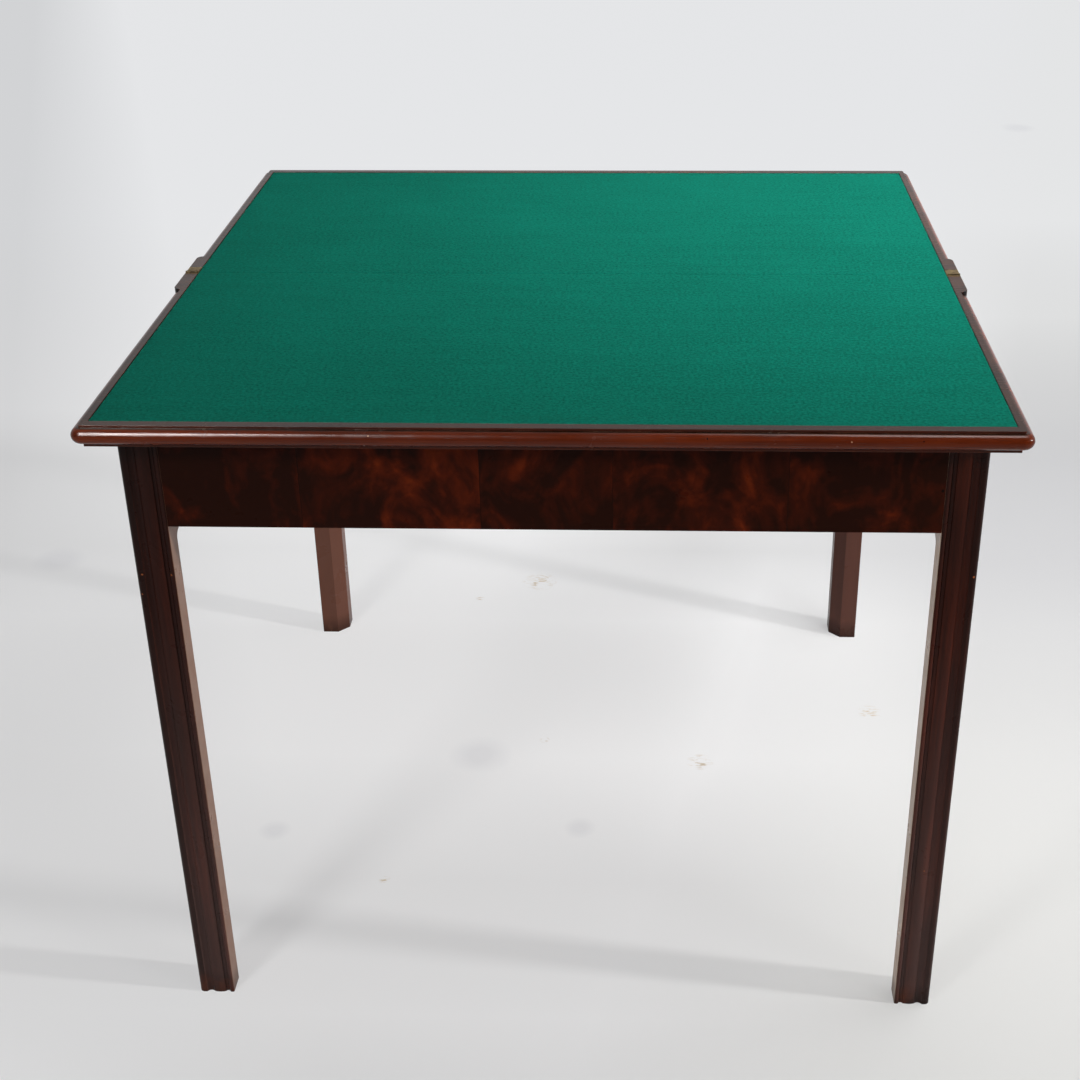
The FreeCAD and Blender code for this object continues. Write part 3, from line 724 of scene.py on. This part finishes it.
# Half the slot's width and the top's radius, as shares of the head's radius
SLOT_HALF = 0.12
HEAD_TOP = 0.86
# Steps around half a head
SCREW_STEPS = 14


def add_piece(name, shape, material):
    """An object of the scene from a bmesh, which is used up."""
    mesh = bpy.data.meshes.new(name)
    shape.to_mesh(mesh)
    shape.free()
    mesh.materials.append(material)
    piece = bpy.data.objects.new(name, mesh)
    bpy.context.scene.collection.objects.link(piece)
    return piece


def cloth_stations(start, end, cells):
    """Places across a cloth from edge to edge, close together at both edges."""
    rim = CLOTH_INSETS[-1]
    inner = [start + rim + (end - start - 2 * rim) * i / cells for i in range(cells + 1)]
    near_start = [start + inset for inset in CLOTH_INSETS[:-1]]
    near_end = [end - inset for inset in reversed(CLOTH_INSETS[:-1])]
    return near_start + inner + near_end


def cloth_drop(steps_in):
    """How far the top has dropped this many stations in from the edge."""
    return CLOTH_DROPS[steps_in] if steps_in < len(CLOTH_DROPS) else 0.0


def trim(along, seed):
    """How far the trimmed edge draws back at a place along it."""
    return TRIM_SWING * (0.5 + noise.noise(Vector((along * TRIM_WAVES, seed, TRIM_LAYER))))


def cloth_grid(shape, xs, ys, hinge_side, top, bottom):
    """The points of a cloth's top, where bottom is None, or of its bottom, where top is None."""
    grid = []
    for j, y in enumerate(ys):
        steps_y = min(j, len(ys) - 1 - j)
        row = []
        for i, x in enumerate(xs):
            steps_x = min(i, len(xs) - 1 - i)
            place_x, place_y = x, y
            if steps_x < len(CLOTH_INSETS):
                place_x -= math.copysign(trim(y, x > 0), x)
            if steps_y < len(CLOTH_INSETS) and abs(y) > TRIM_ZONE:
                place_y -= math.copysign(trim(x, TRIM_SEED), y)
            if top is None:
                height = bottom + CLOTH_LIFT
            else:
                by_hinge = HINGE_DROP if abs(y) < HINGE_ZONE else 1.0
                height = top - max(cloth_drop(steps_x), by_hinge * cloth_drop(steps_y))
                if min(steps_x, steps_y) >= len(CLOTH_INSETS):
                    for swing, waves_x, waves_y in CLOTH_WAVES:
                        height += swing * noise.noise(Vector((x * waves_x, y * waves_y, hinge_side)))
            row.append(shape.verts.new((place_x, place_y, height)))
        grid.append(row)
    return grid


def grid_rim(grid):
    """The points around a grid, in order."""
    right = [row[-1] for row in grid[1:]]
    left = [row[0] for row in grid[-2:0:-1]]
    return grid[0] + right + grid[-1][-2::-1] + left


def make_cloth(name, node, body, hinge_side, material):
    """A sheet of baize laid in its panel, with soft edges and the slight unevenness of glued cloth."""
    low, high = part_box(node)
    hinge_edge = hinge_side * HINGE_GAP
    y_range = (low.y, hinge_edge) if hinge_side < 0 else (hinge_edge, high.y)
    xs = cloth_stations(low.x, high.x, CLOTH_CELLS_X)
    ys = cloth_stations(*y_range, CLOTH_CELLS_Y)
    shape = bmesh.new()
    top = cloth_grid(shape, xs, ys, hinge_side, high.z, None)
    bottom = cloth_grid(shape, xs, ys, hinge_side, None, low.z)
    for grid, order in ((top, 1), (bottom, -1)):
        for row, next_row in zip(grid, grid[1:]):
            for i in range(len(xs) - 1):
                shape.faces.new([row[i], row[i + 1], next_row[i + 1], next_row[i]][::order])
    rim_top, rim_bottom = grid_rim(top), grid_rim(bottom)
    for k in range(len(rim_top)):
        n = (k + 1) % len(rim_top)
        shape.faces.new([rim_bottom[k], rim_bottom[n], rim_top[n], rim_top[k]])
    piece = add_piece(name, shape, material)
    for face in piece.data.polygons:
        face.use_smooth = True
    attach(piece, body)
    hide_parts(node)


def add_screw(shape, centre, outwards, radius, turn):
    """A countersunk head that stands a hair proud, with a cut slot."""
    slot_half = SLOT_HALF * radius
    axis = Vector(outwards)
    side = axis.orthogonal().normalized()
    other = axis.cross(side)
    first = math.cos(turn) * side + math.sin(turn) * other
    second = axis.cross(first)

    def point(a, b, height):
        return shape.verts.new(Vector(centre) + first * a + second * b + axis * height)

    whole_turn = [2 * math.pi * i / (2 * SCREW_STEPS) for i in range(2 * SCREW_STEPS)]
    shape.faces.new([point(radius * math.cos(a), radius * math.sin(a), SCREW_FLOOR) for a in whole_turn])
    start = math.asin(slot_half / radius)
    angles = [start + (math.pi - 2 * start) * i / SCREW_STEPS for i in range(SCREW_STEPS + 1)]
    for half in (1, -1):
        outline = [(radius * math.cos(a), half * radius * math.sin(a)) for a in angles]
        low = [point(a, b, 0.0) for a, b in outline]
        high = [point(HEAD_TOP * a, max(HEAD_TOP * abs(b), slot_half) * half, SCREW_PROUD) for a, b in outline]
        shape.faces.new(high[::half])
        for k in range(len(low)):
            n = (k + 1) % len(low)
            shape.faces.new([low[k], low[n], high[n], high[k]][::half])


def make_screws(name, body, heads, radius, material):
    """Screws of one hinge leaf, from heads given as centre and outward direction."""
    shape = bmesh.new()
    draw = random.Random(name)
    for centre, outwards in heads:
        add_screw(shape, centre, outwards, radius, draw.uniform(0, math.pi))
    piece = add_piece(name, shape, material)
    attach(piece, body)


def make_all_screws(material):
    """The screws of every hinge leaf, on the body that the leaf rides on."""
    for side_name, side in (("left", -1), ("right", 1)):
        front_flap, rear_flap = side_name + "_front_flap", side_name + "_rear_flap"
        leaves = {
            ("front", -1): "front_frame", ("front", 1): front_flap,
            ("middle", -1): front_flap, ("middle", 1): rear_flap,
            ("rear", -1): rear_flap, ("rear", 1): "rear_frame",
        }
        for (joint, member), body in leaves.items():
            pin_x = side * (OUTER_PIN_X if joint == "middle" else INNER_PIN_X)
            toward = -side if joint == "middle" else side
            x, y = pin_x + toward * HINGE_SCREW_REACH, PIN_YS[joint] + member * HALF_JOINT
            heads = [((x, y, HINGE_MIDDLE + rise), (0, -member, 0)) for rise in HINGE_SCREW_RISES]
            which = "near" if member < 0 else "far"
            make_screws(f"screws_{side_name}_{joint}_{which}", body, heads, HINGE_SCREW_RADIUS, material)
        for leaf, body, behind in (("lower", "front_frame", -1), ("upper", "upper_leaf", 1)):
            heads = [((side * STRAP_FACE_X, behind * y, STRAP_MIDDLE), (side, 0, 0)) for y in STRAP_SCREW_YS]
            make_screws(f"screws_{side_name}_strap_{leaf}", body, heads, STRAP_SCREW_RADIUS, material)


# Floor and surroundings

FLOOR_SIDE = 30.0
# The floor's near and far colour, and where along Y one turns into the other
FLOOR_NEAR, FLOOR_FAR = linear(254, 254, 255), linear(233, 234, 236)
FLOOR_DEPTHS = (0.4, 2.6)
# Darker bands along X, painted shade towards the front: where each begins and is full along Y, and its colour
FLOOR_BANDS = [((0.05, -0.22), linear(235, 235, 236)), ((-0.46, -0.56), linear(225, 225, 226))]
# The floor's left and right, with painted shade: how its edge slants, where it begins and is full, its near and
# its far colour
LEFT_SLANT, LEFT_RANGE = 0.323, (-0.42, -0.82)
LEFT_NEAR, LEFT_FAR = linear(236, 236, 237), linear(214, 215, 217)
RIGHT_SLANT, RIGHT_RANGE = 0.239, (0.15, 0.53)
RIGHT_NEAR, RIGHT_FAR = linear(217, 217, 216), linear(232, 233, 234)
# The darkest places, painted shade, are the band behind the table and the floor right of its back. Both have
# their middle at this place along Y, then follow the half width with its soft edge and without, and the strength
BACK_Y = 0.85
BEHIND_BAND, BEHIND_COLOUR = (0.42, 0.18, 0.8), linear(205, 205, 206)
BESIDE_BAND, BESIDE_COLOUR = (1.0, 0.2, 1.0), linear(199, 199, 201)
# Along X the band behind rises from one strength to the other between two places
BEHIND_RISE = (-0.30, 0.0, 0.45, 1.0)
# How much of the floor's look is its own pale colour, as against the lamps' light and shadow on it
FLOOR_SHARE, FAR_FLOOR_SHARE = 0.55, 0.95
FLOOR_SMUDGES = [
    ((-0.922, 0.617, 0.0), 0.030), ((-0.140, 0.054, 0.0), 0.028), ((0.008, -0.110, 0.0), 0.014),
    ((1.295, 3.632, 0.0), 0.040), ((-0.397, -0.124, 0.0), 0.014),
]
FLOOR_SCUFFS = [
    ((-0.086, 0.556, 0.0), 0.022), ((-0.182, 0.500, 0.0), 0.006), ((0.170, 0.044, 0.0), 0.014),
    ((0.423, 0.175, 0.0), 0.014), ((-0.236, -0.222, 0.0), 0.006), ((-0.051, 0.093, 0.0), 0.006),
]
# How soft the marks' outlines are, how strong the marks are, and their colours
SMUDGE_SOFTNESS, SMUDGE_STRENGTH, SMUDGE_COLOUR = 1.1, 0.20, linear(196, 196, 204)
SCUFF_SOFTNESS, SCUFF_STRENGTH, SCUFF_COLOUR = 0.9, 0.8, linear(198, 178, 148)
FLOOR_WOBBLE_NOISE = (9.0, 4.0, 0.6, 0.4)
STREAK_SCALE, STREAK_NOISE, STREAK_RANGE = (0.4, 1.0, 1.0), (170.0, 3.0, 0.6, 0.6), (0.49, 0.64)
FLOOR_ROUGHNESS, FLOOR_GLOSS = 0.9, 0.05
# The surroundings in front of the table and behind it, and where along Y one turns into the other
WALL_IN_FRONT, WALL_BEHIND = linear(100, 100, 104), linear(222, 223, 226)
WALL_RANGE = (-0.35, 0.45)
SKY_COLOUR = (0.97, 0.99, 1.0, 1.0)
SKY_STRENGTH = 0.13


def seen_rays(graph):
    """1 for rays that show the surroundings in the picture, in gloss or through glass."""
    path = graph.add("LightPath").outputs
    whole = path["Is Camera Ray"]
    for kind in ("Is Glossy Ray", "Is Transmission Ray"):
        whole = graph.math("MAXIMUM", whole, path[kind])
    return whole


def floor_colour(graph, x, y, far):
    """The floor's own brightness, with painted shade: darker to its left and right, and most of all right of the
    table's back.
    """
    colour = graph.mix(far, FLOOR_NEAR, FLOOR_FAR)
    for y_range, band_colour in FLOOR_BANDS:
        colour = graph.mix(graph.ramp(y, *y_range), colour, band_colour)
    left = graph.ramp(graph.math("ADD", x, graph.math("MULTIPLY", y, LEFT_SLANT)), *LEFT_RANGE)
    slanted = graph.math("SUBTRACT", x, graph.math("MULTIPLY", y, RIGHT_SLANT))
    right = graph.ramp(slanted, *RIGHT_RANGE)
    colour = graph.mix(left, colour, graph.mix(far, LEFT_NEAR, LEFT_FAR))
    colour = graph.mix(right, colour, graph.mix(far, RIGHT_NEAR, RIGHT_FAR))
    behind = graph.math("MULTIPLY", graph.ramp(slanted, *BEHIND_RISE), graph.near(y, BACK_Y, *BEHIND_BAND))
    beside = graph.math("MULTIPLY", right, graph.near(y, BACK_Y, *BESIDE_BAND))
    return graph.mix(beside, graph.mix(behind, colour, BEHIND_COLOUR), BESIDE_COLOUR)


def add_floor_marks(graph, colour):
    """The floor's colour with its faint smudges and scuffs."""
    wobble = graph.noise(graph.place, *FLOOR_WOBBLE_NOISE)
    smudges = graph.spots(FLOOR_SMUDGES, wobble, SMUDGE_SOFTNESS)
    streaks = graph.ramp(graph.noise(graph.scaled(STREAK_SCALE), *STREAK_NOISE), *STREAK_RANGE)
    scuffs = graph.math("MULTIPLY", graph.spots(FLOOR_SCUFFS, wobble, SCUFF_SOFTNESS), streaks)
    colour = graph.mix(graph.math("MULTIPLY", smudges, SMUDGE_STRENGTH), colour, SMUDGE_COLOUR)
    return graph.mix(graph.math("MULTIPLY", scuffs, SCUFF_STRENGTH), colour, SCUFF_COLOUR)


def make_floor():
    bpy.ops.mesh.primitive_plane_add(size=FLOOR_SIDE, location=(0, 0, 0))
    floor = bpy.context.object
    floor.name = "studio_floor"
    graph = Graph(bpy.data.materials.new("studio_floor"))
    parts = graph.parts()
    far = graph.ramp(parts["Y"], *FLOOR_DEPTHS)
    pale = add_floor_marks(graph, floor_colour(graph, parts["X"], parts["Y"], far))
    lit = graph.surface(pale, FLOOR_ROUGHNESS, Specular_IOR_Level=FLOOR_GLOSS)
    bright = graph.add("Emission", {"Color": pale, "Strength": 1.0}).outputs[0]
    own = graph.math("MULTIPLY_ADD", far, FAR_FLOOR_SHARE - FLOOR_SHARE, FLOOR_SHARE)
    share = graph.math("MULTIPLY", seen_rays(graph), own)
    mixed = graph.add("MixShader", {0: share, 1: lit, 2: bright}).outputs[0]
    floor.data.materials.append(graph.finished(mixed))


def make_world():
    """Pale surroundings, darker in front of the table, and an even light from all round."""
    graph = Graph(bpy.data.worlds.new("studio"))
    behind = graph.ramp(graph.parts(graph.coordinates["Generated"])["Y"], *WALL_RANGE)
    shown = graph.add("Background", {"Color": graph.mix(behind, WALL_IN_FRONT, WALL_BEHIND)}).outputs[0]
    lit = graph.add("Background", {"Color": SKY_COLOUR, "Strength": SKY_STRENGTH}).outputs[0]
    mixed = graph.add("MixShader", {0: seen_rays(graph), 1: lit, 2: shown}).outputs[0]
    bpy.context.scene.world = graph.finished(mixed, "OutputWorld")


make_camera()
make_floor()
make_world()
for lamp_name, lamp_values in LAMPS.items():
    make_lamp(lamp_name, **lamp_values)
baize_material, brass_material = dress_nodes()
make_cloth("lower_baize_cloth", "lower_baize", "front_frame", -1, baize_material)
make_cloth("upper_baize_cloth", "upper_baize", "upper_leaf", 1, baize_material)
make_all_screws(brass_material)
bpy.context.scene.view_settings.view_transform = "Standard"
